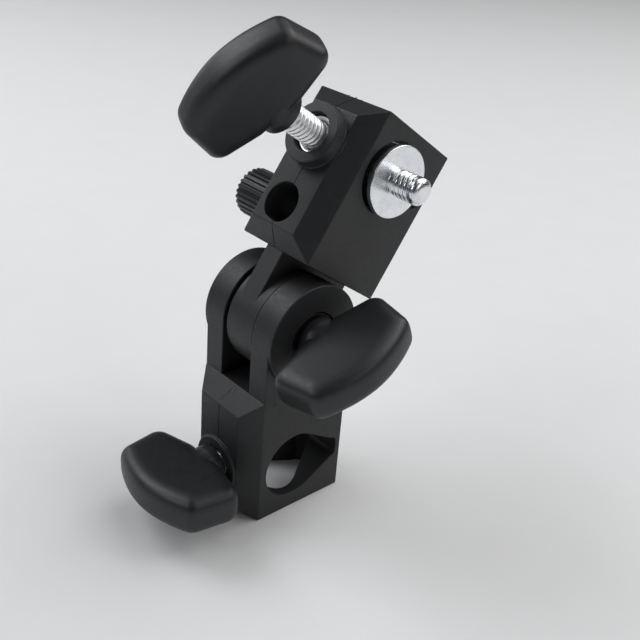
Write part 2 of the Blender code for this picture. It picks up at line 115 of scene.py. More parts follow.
THUMB_OFF = 3.1 * MM
THUMB_TEETH = 26
M5_R = 2.4 * MM
M5_ROOT = 2.0 * MM
M5_PITCH = 0.8 * MM
SPIGOT_R = 7.75 * MM
SPIGOT_Y = -1.4 * MM
FLANGE_R = 8.4 * MM
FLANGE_T = 1.5 * MM
STUD_LEN = 7.8 * MM
GAP = 0.3 * MM

# ---- finish, softer than the CAD -----------------------------------------------------------
GROOVE_ROUND = 1.6 * MM     # corners at the closed end of the groove
KNOB_EDGE = 5.5 * MM        # how far the soft edge reaches into the broad face
KNOB_ROUND = 3.0 * MM       # corners of the knob's outline
KNOB_POWER = 3.3            # superellipse power of the knob's section
THREAD_SHARE = 0.8          # depth of the thread against crest minus root
LIP_GAP = 0.2 * MM          # barrel rim to the near ear
EDGE_R = 0.38 * MM          # rounding of the moulded edges
RIM_R = 0.3 * MM            # rounding where an opening meets a face
SEAM_HALF = 0.1 * MM        # half width of the mould parting line
SEAM_DEEP = 0.09 * MM
SCRATCH_HALF = 0.07 * MM
# x, then where it starts and ends below the top of the block, all in millimetres
SCRATCHES = ((0.35, 0.3, 2.1), (0.0, 1.3, 2.8), (1.5, 0.4, 1.5), (-0.5, 2.2, 3.3))
FLASH = ((-2.2 * MM, 0.2 * MM), (0.1 * MM, 0.26 * MM), (1.9 * MM, 0.18 * MM))   # x, size
LOWER_KNOCK = (HALF_W, -9.5 * MM, 31.9 * MM)
UPPER_KNOCK = (6.6 * MM, PAD_FRONT, 33.0 * MM)

# ---- meshing and view ----------------------------------------------------------------------
WELD = 2e-6                 # vertices closer than this are one, after a boolean
OVERRUN = 1.5 * MM          # how far a cutting tool stands proud of the face
LENS = 55.7026
CAMERA_OFFSET = Vector((0.151504, -0.132387, 0.108492))   # from the hinge, metres
CAMERA_AZIMUTH = math.radians(-43.7916)
CAMERA_ELEVATION = math.radians(28.3839)
CAMERA_ROLL = math.radians(4.8676)

AXES = {
    "Z": Matrix.Identity(4),
    "-Y": Matrix.Rotation(math.radians(90), 4, "X"),
    "X": Matrix.Rotation(math.radians(90), 4, "Y"),
    "-X": Matrix.Rotation(math.radians(-90), 4, "Y"),
}


# ---- mesh helpers --------------------------------------------------------------------------
def object_from_bmesh(bm, name):
    bmesh.ops.remove_doubles(bm, verts=bm.verts, dist=1e-7)
    bmesh.ops.recalc_face_normals(bm, faces=bm.faces)
    mesh = bpy.data.meshes.new(name)
    bm.to_mesh(mesh)
    bm.free()
    ob = bpy.data.objects.new(name, mesh)
    bpy.context.scene.collection.objects.link(ob)
    return ob


def remove_object(ob):
    mesh = ob.data
    bpy.data.objects.remove(ob, do_unlink=True)
    bpy.data.meshes.remove(mesh)


def boolean(ob, tool, operation):
    mod = ob.modifiers.new("cut", "BOOLEAN")
    mod.operation = operation
    mod.solver = "EXACT"
    mod.object = tool
    graph = bpy.context.evaluated_depsgraph_get()
    graph.update()
    mesh = bpy.data.meshes.new_from_object(ob.evaluated_get(graph))
    bm = bmesh.new()
    bm.from_mesh(mesh)
    bmesh.ops.remove_doubles(bm, verts=bm.verts, dist=WELD)
    bmesh.ops.dissolve_degenerate(bm, dist=1e-6, edges=bm.edges)
    bmesh.ops.recalc_face_normals(bm, faces=bm.faces)
    bm.to_mesh(mesh)
    bm.free()
    old = ob.data
    ob.modifiers.clear()
    ob.data = mesh
    bpy.data.meshes.remove(old)
    remove_object(tool)


def cut(ob, *tools):
    for tool in tools:
        boolean(ob, tool, "DIFFERENCE")


def join(ob, *tools):
    for tool in tools:
        boolean(ob, tool, "UNION")


def tidy(ob):
    bm = bmesh.new()
    bm.from_mesh(ob.data)
    bmesh.ops.remove_doubles(bm, verts=bm.verts, dist=3e-6)
    bmesh.ops.dissolve_limit(bm, angle_limit=0.0015, verts=bm.verts, edges=bm.edges)
    bmesh.ops.dissolve_degenerate(bm, dist=1e-6, edges=bm.edges)
    bmesh.ops.recalc_face_normals(bm, faces=bm.faces)
    bm.to_mesh(ob.data)
    bm.free()


def skin(rings, name, cap_start=True, cap_end=True):
    """Closed surface through rings of equal length; a ring of one point closes an end."""
    bm = bmesh.new()
    made = [[bm.verts.new(p) for p in ring] for ring in rings]
    for low, high in zip(made, made[1:]):
        count = max(len(low), len(high))
        for i in range(count):
            j = (i + 1) % count
            if len(low) == 1:
                bm.faces.new((low[0], high[i], high[j]))
            elif len(high) == 1:
                bm.faces.new((low[i], low[j], high[0]))
            else:
                bm.faces.new((low[i], low[j], high[j], high[i]))
    if cap_start and len(made[0]) > 2:
        bm.faces.new(made[0])
    if cap_end and len(made[-1]) > 2:
        bm.faces.new(made[-1])
    return object_from_bmesh(bm, name)


def circle(radius, cx=0.0, cy=0.0, count=96, start=0.0):
    points = []
    for i in range(count):
        a = start + 2 * math.pi * i / count
        points.append((cx + radius * math.cos(a), cy + radius * math.sin(a)))
    return points


def grow(points, amount):
    """Offset a closed outline outwards, or inwards for a negative amount."""
    area = 0.0
    for (x0, y0), (x1, y1) in zip(points, points[1:] + points[:1]):
        area += x0 * y1 - x1 * y0
    sign = 1.0 if area > 0 else -1.0
    result = []
    count = len(points)
    for i in range(count):
        p = Vector(points[i - 1])
        q = Vector(points[i])
        r = Vector(points[(i + 1) % count])
        n1 = Vector(((q - p).y, -(q - p).x)).normalized() * sign
        n2 = Vector(((r - q).y, -(r - q).x)).normalized() * sign
        n = (n1 + n2).normalized()
        q = q + n * (amount / max(n.dot(n1), 0.4))
        result.append((q.x, q.y))
    return result


def place(axis, level, outline):
    if axis == "X":
        return [(level, a, b) for a, b in outline]
    if axis == "Y":
        return [(a, level, b) for a, b in outline]
    return [(a, b, level) for a, b in outline]


def prism(outline, axis, lo, hi, name="prism"):
    return skin([place(axis, lo, outline), place(axis, hi, outline)], name)


def quarter(radius, steps=5, last=90):
    """(inset, depth) pairs of a rounded edge, from the face inwards."""
    pairs = []
    for i in range(steps + 1):
        a = math.radians(last * i / steps)
        pairs.append((radius * (1 - math.sin(a)), radius * (1 - math.cos(a))))
    return pairs


def rounded_prism(outline, axis, lo, hi, radius):
    """Prism whose end edges are rounded."""
    rings = []
    for inset, depth in quarter(radius):
        rings.append(place(axis, lo + depth, grow(outline, -inset)))
    for inset, depth in reversed(quarter(radius)):
        rings.append(place(axis, hi - depth, grow(outline, -inset)))
    return skin(rings, "rounded_prism")


def mouth(rim):
    """(depth, outward) pairs of a rounded mouth, from outside the face inwards."""
    flare = rim + 0.06 * MM
    return [(-OVERRUN, flare), (-0.02 * MM, flare)] + sorted(quarter(rim, 5, 80))


def opening(outline, axis, lo, hi, rim_lo=0.0, rim_hi=0.0):
    """Cutting tool whose mouth is rounded where it leaves a face at lo or hi."""
    rings = []
    if rim_lo:
        rings += [place(axis, lo + depth, grow(outline, out)) for depth, out in mouth(rim_lo)]
    else:
        rings.append(place(axis, lo, outline))
    if rim_hi:
        rings += [place(axis, hi - depth, grow(outline, out)) for depth, out in mouth(rim_hi)[::-1]]
    else:
        rings.append(place(axis, hi, outline))
    return skin(rings, "opening")


def lathe(profile, count=96, name="lathe"):
    """Turn (radius, height) pairs about Z; a closed profile has no zero radius."""
    rings = []
    for radius, height in profile:
        if radius == 0.0:
            rings.append([(0.0, 0.0, height)])
        else:
            rings.append([(x, y, height) for x, y in circle(radius, count=count)])
    if profile[0][0] and profile[-1][0]:
        rings.append(rings[0])
        return skin(rings, name, False, False)
    return skin(rings, name)


def soften(profile, radius, steps=4):
    """Round the inner corners of a (radius, height) profile."""
    result = [profile[0]]
    for i in range(1, len(profile) - 1):
        p, q, r = (Vector(profile[k]) for k in (i - 1, i, i + 1))
        reach = min(radius, (p - q).length * 0.45, (r - q).length * 0.45)
        a = q + (p - q).normalized() * reach
        b = q + (r - q).normalized() * reach
        for k in range(steps + 1):
            t = k / steps
            w = a * (1 - t) ** 2 + q * 2 * t * (1 - t) + b * t ** 2
            result.append((w.x, w.y))
    result.append(profile[-1])
    return result


def shade(ob, degrees=32.0):
    """Smooth shading with sharp creases, and flats kept flat by area weighting."""
    mesh = ob.data
    bm = bmesh.new()
    bm.from_mesh(mesh)
    limit = math.radians(degrees)
    for face in bm.faces:
        face.smooth = True
    for edge in bm.edges:
        edge.smooth = len(edge.link_faces) == 2 and edge.calc_face_angle(0.0) < limit
    bm.to_mesh(mesh)
    bm.free()
    mod = ob.modifiers.new("flats", "WEIGHTED_NORMAL")
    mod.keep_sharp = True
    mod.weight = 80


def finish_piece(ob, name, body, nodes, material, matrix, degrees=32.0):
    """Name a piece, stand it in its frame and hang it on its body."""
    ob.name = name
    ob.data.name = name
    ob.data.materials.clear()
    ob.data.materials.append(material)
    ob.data.transform(matrix)
    shade(ob, degrees)
    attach(ob, body)
    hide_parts(*nodes)
    return ob


# ---- materials -----------------------------------------------------------------------------
def new_material(name):
    mat = bpy.data.materials.new(name)
    mat.use_nodes = True
    tree = mat.node_tree
    return mat, tree, tree.nodes["Principled BSDF"]


def node(tree, kind, **values):
    made = tree.nodes.new(kind)
    for key, value in values.items():
        if hasattr(made, key):
            setattr(made, key, value)
        else:
            made.inputs[key].default_value = value
    return made


def noise(tree, coords, scale, detail=2.0, rough=0.5, stretch=None):
    tex = node(tree, "ShaderNodeTexNoise")
    tex.inputs["Scale"].default_value = scale
    tex.inputs["Detail"].default_value = detail
    tex.inputs["Roughness"].default_value = rough
    if stretch:
        mapping = node(tree, "ShaderNodeMapping")
        mapping.inputs["Scale"].default_value = stretch
        tree.links.new(coords, mapping.inputs["Vector"])
        coords = mapping.outputs["Vector"]
    tree.links.new(coords, tex.inputs["Vector"])
    return tex.outputs["Fac"]


def remap(tree, value, lo, hi, to_lo, to_hi):
    ramp = node(tree, "ShaderNodeMapRange")
    ramp.inputs["From Min"].default_value = lo
    ramp.inputs["From Max"].default_value = hi
    ramp.inputs["To Min"].default_value = to_lo
    ramp.inputs["To Max"].default_value = to_hi
    tree.links.new(value, ramp.inputs["Value"])
    return ramp.outputs["Result"]


def mix_colour(tree, factor, first, second):
    mix = node(tree, "ShaderNodeMix")
    mix.data_type = "RGBA"
    mix.inputs[6].default_value = (*first, 1.0)
    mix.inputs[7].default_value = (*second, 1.0)
    tree.links.new(factor, mix.inputs[0])
    return mix.outputs[2]


def bump(tree, height, strength, distance, normal=None):
    made = node(tree, "ShaderNodeBump")
    made.inputs["Strength"].default_value = strength
    made.inputs["Distance"].default_value = distance
    tree.links.new(height, made.inputs["Height"])
    if normal is not None:
        tree.links.new(normal, made.inputs["Normal"])
    return made.outputs["Normal"]


def plastic(name, dark, light, rough_lo, rough_hi, grain=3900.0, strength=0.6, seed=0.0):
    """Black moulded plastic: spark grain, faint flow marks and hairline scuffs."""
    mat, tree, bsdf = new_material(name)
    coord = node(tree, "ShaderNodeTexCoord").outputs["Object"]
    shift = node(tree, "ShaderNodeMapping")
    shift.inputs["Location"].default_value = (seed, seed * 0.7, seed * 1.3)
    tree.links.new(coord, shift.inputs["Vector"])
    coord = shift.outputs["Vector"]
    cloud = noise(tree, coord, 260.0, 3.0, 0.6)
    mottle = noise(tree, coord, 1500.0, 2.0, 0.6)
    fine = noise(tree, coord, grain, 2.0, 0.55)
    scuff = noise(tree, coord, 420.0, 4.0, 0.7, (1.0, 6.0, 0.7))
    blend = node(tree, "ShaderNodeMath", operation="MULTIPLY_ADD")
    tree.links.new(mottle, blend.inputs[0])
    blend.inputs[1].default_value = 0.5
    tree.links.new(remap(tree, cloud, 0.3, 0.7, 0.0, 0.5), blend.inputs[2])
    tree.links.new(mix_colour(tree, blend.outputs[0], dark, light), bsdf.inputs["Base Color"])
    rough = node(tree, "ShaderNodeMath", operation="ADD")
    tree.links.new(remap(tree, mottle, 0.3, 0.7, rough_lo, rough_hi), rough.inputs[0])
    tree.links.new(remap(tree, scuff, 0.62, 0.72, 0.0, -0.08), rough.inputs[1])
    tree.links.new(rough.outputs[0], bsdf.inputs["Roughness"])
    bsdf.inputs["IOR"].default_value = 1.5
    bsdf.inputs["Specular IOR Level"].default_value = 0.5
    first = bump(tree, fine, strength, 0.025 * MM)
    second = bump(tree, cloud, 0.2, 0.08 * MM, first)
    tree.links.new(second, bsdf.inputs["Normal"])
    return mat


def metal(name, colour, dull, rough_lo, rough_hi, grain=3000.0, strength=0.15):
    """Zinc plated steel with a slightly uneven, handled surface."""
    mat, tree, bsdf = new_material(name)
    coord = node(tree, "ShaderNodeTexCoord").outputs["Object"]
    cloud = noise(tree, coord, 700.0, 3.0, 0.6)
    fine = noise(tree, coord, grain, 3.0, 0.6)
    tree.links.new(mix_colour(tree, remap(tree, cloud, 0.35, 0.75, 0.0, 1.0), colour, dull),
                   bsdf.inputs["Base Color"])
    tree.links.new(remap(tree, fine, 0.3, 0.7, rough_lo, rough_hi), bsdf.inputs["Roughness"])
    bsdf.inputs["Metallic"].default_value = 1.0
    tree.links.new(bump(tree, fine, strength, 0.01 * MM), bsdf.inputs["Normal"])
    return mat


def turned_metal(name, axis_point):
    """Bright turned steel with concentric tool marks about an X axis."""
    mat, tree, bsdf = new_material(name)
    coord = node(tree, "ShaderNodeTexCoord").outputs["Object"]
    shift = node(tree, "ShaderNodeMapping")
    shift.inputs["Location"].default_value = (-axis_point[0], -axis_point[1], -axis_point[2])
    tree.links.new(coord, shift.inputs["Vector"])
    rings = node(tree, "ShaderNodeTexWave")
    rings.wave_type = "RINGS"
    rings.rings_direction = "X"
    rings.inputs["Scale"].default_value = 900.0
    rings.inputs["Distortion"].default_value = 0.25
    rings.inputs["Detail"].default_value = 2.0
    tree.links.new(shift.outputs["Vector"], rings.inputs["Vector"])
    cloud = noise(tree, shift.outputs["Vector"], 500.0, 3.0, 0.6)
    tree.links.new(mix_colour(tree, remap(tree, cloud, 0.35, 0.7, 0.0, 1.0),
                              (0.90, 0.91, 0.93), (0.78, 0.80, 0.84)), bsdf.inputs["Base Color"])
    tree.links.new(remap(tree, rings.outputs["Fac"], 0.0, 1.0, 0.2, 0.32), bsdf.inputs["Roughness"])
    bsdf.inputs["Metallic"].default_value = 1.0
    bsdf.inputs["Anisotropic"].default_value = 0.35
    tangent = node(tree, "ShaderNodeTangent")
    tangent.direction_type = "RADIAL"
    tangent.axis = "X"
    tree.links.new(tangent.outputs["Tangent"], bsdf.inputs["Tangent"])
    tree.links.new(bump(tree, rings.outputs["Fac"], 0.25, 0.02 * MM), bsdf.inputs["Normal"])
    return mat


def rubber(name):
    mat, tree, bsdf = new_material(name)
    coord = node(tree, "ShaderNodeTexCoord").outputs["Object"]
    fine = noise(tree, coord, 9000.0, 3.0, 0.6)
    cloud = noise(tree, coord, 900.0, 3.0, 0.6)
    tree.links.new(mix_colour(tree, cloud, (0.012, 0.012, 0.012), (0.03, 0.029, 0.028)),
                   bsdf.inputs["Base Color"])
    tree.links.new(remap(tree, fine, 0.3, 0.7, 0.78, 0.95), bsdf.inputs["Roughness"])
    tree.links.new(bump(tree, fine, 0.5, 0.03 * MM), bsdf.inputs["Normal"])
    return mat


# ---- block shapes --------------------------------------------------------------------------
def pad_block(z0, z1, name):
    """Block whose front pad is framed by four chamfers, every edge rounded."""
    bm = bmesh.new()
    pad = HALF_W - CHAMFER
    levels = ((BACK, HALF_W, z0, z1), (SIDE_FRONT, HALF_W, z0, z1),
              (PAD_FRONT, pad, z0 + CHAMFER, z1 - CHAMFER))
    rings = []
    for y, w, low, high in levels:
        corners = ((-w, low), (w, low), (w, high), (-w, high))
        rings.append([bm.verts.new((x, y, z)) for x, z in corners])
    for near, far in zip(rings, rings[1:]):
        for i in range(4):
            j = (i + 1) % 4
            bm.faces.new((near[i], near[j], far[j], far[i]))
    bm.faces.new(rings[0])
    bm.faces.new(rings[-1])
    bmesh.ops.recalc_face_normals(bm, faces=bm.faces)
    bmesh.ops.bevel(bm, geom=bm.edges, offset=EDGE_R, offset_type="WIDTH", segments=5,
                    profile=0.5, affect="EDGES", clamp_overlap=True)
    return object_from_bmesh(bm, name)


def groove_outline(cy, cz, count=96):
    """Round bore that opens into a tapering groove towards +Y."""
    run = GROOVE_END - GROOVE_ROUND - cy
    touch = math.atan2(GROOVE_TIP, run) + math.acos(BORE_R / math.hypot(run, GROOVE_TIP))
    points = []
    for i in range(count + 1):
        a = touch + (2 * math.pi - 2 * touch) * i / count
        points.append((cy + BORE_R * math.cos(a), cz + BORE_R * math.sin(a)))
    for side in (-1, 1):
        corner = []
        for k in range(5):
            a = math.radians(90 * k / 4)
            y = GROOVE_END - GROOVE_ROUND + GROOVE_ROUND * math.sin(a)
            z = GROOVE_TIP - GROOVE_ROUND + GROOVE_ROUND * math.cos(a)
            corner.append((y, cz + side * z))
        points += corner if side < 0 else corner[::-1]
    return points


def seam(profile):
    """Thin groove along a polyline of (y, z) points in the plane x = 0."""
    tools = []
    for (y0, z0), (y1, z1) in zip(profile, profile[1:]):
        along = Vector((y1 - y0, z1 - z0)).normalized()
        out = Vector((along.y, -along.x))
        if out.x > 0 and abs(out.x) > 0.3:
            out = -out
        a = Vector((y0, z0)) - along * 0.02 * MM
        b = Vector((y1, z1)) + along * 0.02 * MM
        quad = [a - out * SEAM_DEEP, b - out * SEAM_DEEP, b + out * 0.4 * MM, a + out * 0.4 * MM]
        tools.append(prism([(p.x, p.y) for p in quad], "X", -SEAM_HALF, SEAM_HALF, "seam"))
    return tools


def ear_outline():
    radius = EAR_R - 0.03 * MM
    points = [(-radius, LOWER_TOP - 9 * MM), (radius, LOWER_TOP - 9 * MM)]
    for i in range(65):
        a = math.pi * i / 64
        points.append((radius * math.cos(a), HINGE_Z + radius * math.sin(a)))
    return points


def boss(z, length):
    """Collar on the front pad, with a softened rim and a small fillet at its foot."""
    foot = 0.35 * MM
    profile = [(0.0, -1.5 * MM), (BOSS_R + foot, -1.5 * MM), (BOSS_R + foot, 0.0)]
    for i in range(1, 5):
        a = math.radians(90 * i / 4)
        profile.append((BOSS_R + foot * (1 - math.sin(a)), foot * (1 - math.cos(a))))
    for inset, depth in reversed(quarter(0.3 * MM)):
        profile.append((BOSS_R - inset, length - depth))
    profile.append((0.0, length))
    ob = lathe(profile, 96, "boss")
    ob.data.transform(Matrix.Translation((0, PAD_FRONT, z)) @ AXES["-Y"])
    return ob


def clamp_hole(z, length):
    depth = PAD_FRONT - length
    pocket = opening(circle(INSERT_R + 0.25 * MM, 0.0, z, 64), "Y", depth,
                     depth + INSERT_DEEP + INSERT_LEN + GAP, 0.25 * MM)
    hole = prism(circle(SCREW_HOLE_R, 0.0, z, 48), "Y", depth - 2 * MM, BORE_Y)
    return pocket, hole


def lower_scratches():
    """Cutting tools for short scratches down the sloped face below the fork."""
    tools = []
    slope = (PAD_FRONT - SIDE_FRONT) / -CHAMFER
    for x, start, end in SCRATCHES:
        outline = []
        for down, lift in ((start, 0.3), (end, 0.3), (end, -0.07), (start, -0.07)):
            outline.append((SIDE_FRONT - down * MM * slope - lift * MM, LOWER_TOP - down * MM))
        tools.append(prism(outline, "X", x * MM - SCRATCH_HALF, x * MM + SCRATCH_HALF, "scratch"))
    return tools


def nick(place_at, radius=0.35 * MM):
    """Small rounded lump, for a dent left by a knock or a crumb of moulding flash."""
    profile = [(0.0, -radius)]
    for i in range(1, 8):
        a = math.radians(180 * i / 8 - 90)
        profile.append((radius * math.cos(a), radius * math.sin(a)))
    profile.append((0.0, radius))
    ob = lathe(profile, 16, "nick")
    ob.data.transform(Matrix.Translation(Vector(place_at)) @ Matrix.Diagonal((0.5, 0.7, 1.3, 1.0)))
    return ob


def build_lower_block(material):
    body = pad_block(0.0, LOWER_TOP, "lower_block")
    for side in (-1, 1):
        lo, hi = sorted((side * EAR_INNER, side * (HALF_W - 0.02 * MM)))
        join(body, rounded_prism(ear_outline(), "X", lo, hi, 0.25 * MM))
        lo, hi = sorted((side * (HALF_W - 1 * MM), side * (HALF_W + EAR_DISC)))
        join(body, rounded_prism(circle(EAR_R, 0.0, HINGE_Z, 128), "X", lo, hi, 0.3 * MM))
    join(body, boss(LOWER_BORE_Z, LOWER_BOSS_LEN))
    cut(body, *seam([(SIDE_FRONT, 0.4 * MM), (PAD_FRONT, CHAMFER), (PAD_FRONT, LOWER_TOP - CHAMFER)]))
    cut(body, opening(groove_outline(BORE_Y, LOWER_BORE_Z), "X", -HALF_W, HALF_W, RIM_R, RIM_R))
    upright = [(b, a) for a, b in groove_outline(BORE_Y, 0.0)]
    cut(body, opening(upright, "Z", 0.0, SOCKET_DEPTH, RIM_R))
    cut(body, *clamp_hole(LOWER_BORE_Z, LOWER_BOSS_LEN))
    disc = HALF_W + EAR_DISC
    cut(body, prism(circle(HINGE_HOLE_R, 0.0, HINGE_Z, 48), "X", -20 * MM, 20 * MM))
    hexagon = circle(NUT_AF / math.sqrt(3) + 0.25 * MM, 0.0, HINGE_Z, 6, math.pi / 2)
    cut(body, opening(hexagon, "X", -disc, -disc + NUT_LEN + 0.5 * MM, 0.2 * MM))
    cut(body, opening(circle(6.2 * MM, 0.0, HINGE_Z, 64), "X", disc - 1.2 * MM, disc, 0.0, 0.15 * MM))
    cut(body, *lower_scratches())
    cut(body, nick(LOWER_KNOCK))
    tidy(body)
    return finish_piece(body, "lower_block", "base", ["lower_body"], material,
                        BASE_FRAME)


def umbrella_outline(count=96):
    """Nearly round hole, a little flat on the side towards the hinge."""
    points = []
    for i in range(count):
        a = 2 * math.pi * i / count
        radius = UMB_R
        down = math.cos(a - math.radians(-100))
        if down > 0:
            radius = min(radius, (UMB_R - 0.28 * MM) / max(down, 0.5))
        points.append((UMB_X + radius * math.cos(a), UMB_Z + radius * math.sin(a)))
    return points


def build_upper_block(material):
    body = pad_block(UPPER_BOTTOM, UPPER_TOP, "upper_block")
    w = WEB_HALF
    y = BARREL_R - 0.03 * MM
    outline = []
    for cx, cy, start in ((w, y, 0), (-w, y, 90), (-w, -y, 180), (w, -y, 270)):
        for k in range(5):
            a = math.radians(start + 22.5 * k)
            r = 0.3 * MM
            outline.append((math.copysign(abs(cx) - r, cx) + r * math.cos(a),
                            math.copysign(abs(cy) - r, cy) + r * math.sin(a)))
    join(body, prism(outline, "Z", 0.0, UPPER_BOTTOM + 1 * MM))
    join(body, rounded_prism(circle(BARREL_R, count=128), "X", -BARREL_HALF, BARREL_HALF, 0.3 * MM))
    lip = prism(circle(BARREL_R - 0.02 * MM, count=128), "X", BARREL_HALF - 0.5 * MM,
                EAR_INNER - LIP_GAP)
    boolean(lip, prism(circle(FRICTION_R + 0.25 * MM, count=128), "X", 0.0, EAR_INNER), "DIFFERENCE")
    join(body, lip)
    join(body, boss(UPPER_BORE_Z, BOSS_LEN))
    cut(body, *seam([(SIDE_FRONT, UPPER_BOTTOM + 0.2 * MM), (PAD_FRONT, UPPER_BOTTOM + CHAMFER),
                     (PAD_FRONT, UPPER_BORE_Z - BOSS_R)]))
    cut(body, *seam([(PAD_FRONT, UPPER_BORE_Z + BOSS_R), (PAD_FRONT, UPPER_TOP - CHAMFER),
                     (SIDE_FRONT, UPPER_TOP - 0.2 * MM)]))
    cut(body, opening(groove_outline(BORE_Y, UPPER_BORE_Z), "X", -HALF_W, HALF_W, RIM_R, RIM_R))
    upright = [(b, a) for a, b in groove_outline(BORE_Y, 0.0)]
    cut(body, opening(upright, "Z", UPPER_TOP - TOP_SOCKET_DEPTH, UPPER_TOP, 0.0, RIM_R))
    cut(body, *clamp_hole(UPPER_BORE_Z, BOSS_LEN))
    cut(body, opening(umbrella_outline(), "Y", PAD_FRONT, BACK, 0.25 * MM, 0.25 * MM))
    cut(body, opening(circle(3.6 * MM, THUMB_Y, UMB_Z, 48), "X", -HALF_W, 0.0, 0.2 * MM))
    cut(body, prism(circle(HINGE_HOLE_R, 0.0, 0.0, 48), "X", -20 * MM, 20 * MM))
    cut(body, nick(UPPER_KNOCK, 0.3 * MM))
    for x, size in FLASH:
        join(body, nick((x, SIDE_FRONT, UPPER_TOP - 0.1 * MM), size))
    tidy(body)
    return finish_piece(body, "upper_block", "upper", ["upper_body"],
                        material, UPPER_FRAME)


# ---- knobs ---------------------------------------------------------------------------------
def shrink(outline, amount):
    """Move every side of a convex anticlockwise outline inwards and keep what is left."""
    result = [Vector(p) for p in outline]
    for start, end in zip(outline, outline[1:] + outline[:1]):
        along = (Vector(end) - Vector(start)).normalized()
        inward = Vector((-along.y, along.x))
        limit = inward.dot(Vector(start)) + amount
        kept = []
        for p, q in zip(result, result[1:] + result[:1]):
            a = inward.dot(p) - limit
            b = inward.dot(q) - limit
            if a >= 0:
                kept.append(p)
            if (a >= 0) != (b >= 0):
                kept.append(p + (q - p) * (a / (a - b)))
        result = kept
    return result


def rounded_ring(outline, amount, radius, count):
    """Outline moved inwards by amount, its corners rounded, as count points."""
    core = shrink(outline, amount + radius)
    ring = []
    for i in range(count):
        a = 2 * math.pi * (i + 0.5) / count
        out = Vector((math.cos(a), math.sin(a)))
        ring.append(max(core, key=out.dot) + out * radius)
    return ring


def knob_outline():
    """Outline of a paddle knob across the screw axis: (across, outward), sharp corners."""
    arc = []
    for i in range(1, 64):
        u = 1 - i / 32.0
        arc.append((KNOB_ARC_HALF * u, KNOB_APEX - KNOB_ARC_DROP * abs(u) ** 1.9))
    right = [(HUB_R + 0.3 * MM, HUB_LEN), KNOB_WIDE, KNOB_TIP]
    return right + arc + [(-x, z) for x, z in reversed(right)]


def paddle_knob(name):
    """D-shaped paddle knob, screw axis on Z, hub end at z = 0."""
    outline = knob_outline()
    half = KNOB_T / 2
    sections = []
    for i in range(19):
        a = math.radians(90 * i / 18)
        reach = math.sin(a) ** (2 / KNOB_POWER)
        rise = math.cos(a) ** (2 / KNOB_POWER)
        sections.append((KNOB_EDGE * (1 - reach), half * rise))
    sections[-1] = (0.0, 0.0)
    sections += [(inward, -y) for inward, y in reversed(sections[:-1])]
    rings = []
    for inward, y in sections:
        corner = KNOB_ROUND - 0.35 * inward
        rings.append([(p.x, y, p.y) for p in rounded_ring(outline, inward, corner, 240)])
    knob = skin(rings, name)
    hub = soften([(0.0, 0.0), (HUB_R, 0.0), (HUB_R + 0.1 * MM, HUB_LEN + 0.6 * MM),
                  (HUB_R - 0.2 * MM, 3.2 * MM), (HUB_R - 0.9 * MM, 6 * MM), (0.0, 6 * MM)], 0.5 * MM)
    join(knob, lathe(hub, 96))
    cut(knob, opening(circle(SCREW_R + 0.2 * MM, count=64), "Z", 0.0, KNOB_HOLE, 0.2 * MM))
    tidy(knob)
    return knob


# ---- screws and bushes -----------------------------------------------------------------------
def thread_height(turn):
    """Rounded thread profile, 0 at the root and 1 at the crest."""
    return math.sin(math.pi * (turn % 1.0)) ** 0.7


def rod_rings(profile, crest, root, pitch, lo, hi, count, rows=10):
    """Rings of a turned rod whose surface carries a thread between lo and hi."""
    rings = []
    for (r0, z0), (r1, z1) in zip(profile, profile[1:]):
        threaded = r0 == crest and r1 == crest and z1 > z0
        steps = max(1, round((z1 - z0) / pitch * rows)) if threaded else 1
        for k in range(steps):
            t = k / steps
            z = z0 + (z1 - z0) * t
            radius = r0 + (r1 - r0) * t
            ring = []
            for i in range(count):
                a = 2 * math.pi * i / count
                r = radius
                if threaded and lo < z < hi:
                    fade = min(1.0, (z - lo) / (pitch * 0.8), (hi - z) / (pitch * 0.8))
                    sunk = (crest - root) * (1 - thread_height(z / pitch - i / count)) * THREAD_SHARE
                    r = radius - sunk * fade
                ring.append((r * math.cos(a), r * math.sin(a), z))
            rings.append([(0.0, 0.0, z)] if radius == 0.0 else ring)
    r, z = profile[-1]
    rings.append([(0.0, 0.0, z)] if r == 0.0 else [(x, y, z) for x, y in circle(r, count=count)])
    return rings


def clamp_stud(name, length, crest, root, pitch, start, chamfer=0.6 * MM, count=64):
    """Headless screw: plain end in the knob, thread, chamfered tip."""
    profile = [(0.0, 0.0), (crest - 0.3 * MM, 0.0), (crest, 0.3 * MM), (crest, length - chamfer)]
    tip = crest * 0.72
    for i in range(1, 5):
        a = math.radians(90 * i / 4)
        profile.append((tip + (crest - tip) * math.cos(a), length - chamfer + chamfer * math.sin(a)))
    profile.append((0.0, length))
    return skin(rod_rings(profile, crest, root, pitch, start, length - chamfer * 0.4, count), name)


def build_clamp(prefix, matrix, origin, axis, knob_off, tip, turn, bodies, mats):
    """Knob and threaded stud on one screw axis."""
    local = matrix @ Matrix.Translation(Vector(origin)) @ AXES[axis]
    knob = paddle_knob(prefix + "_paddle_knob")
    stand = local @ Matrix.Translation((0, 0, knob_off)) @ Matrix.Rotation(turn, 4, "Z")
    finish_piece(knob, prefix + "_paddle_knob", bodies[0], [prefix + "_knob"],
                 mats["knob"], stand, 40.0)
    inside = KNOB_HOLE - GAP
    stud = clamp_stud(prefix + "_stud", inside + knob_off + tip, SCREW_R, SCREW_ROOT, PITCH,
                      inside - 2 * MM)
    stand = (local @ Matrix.Translation((0, 0, knob_off + inside)) @ Matrix.Rotation(math.pi, 4, "X"))
    finish_piece(stud, prefix + "_stud", bodies[1], [prefix + "_screw"],
                 mats["zinc"], stand, 50.0)


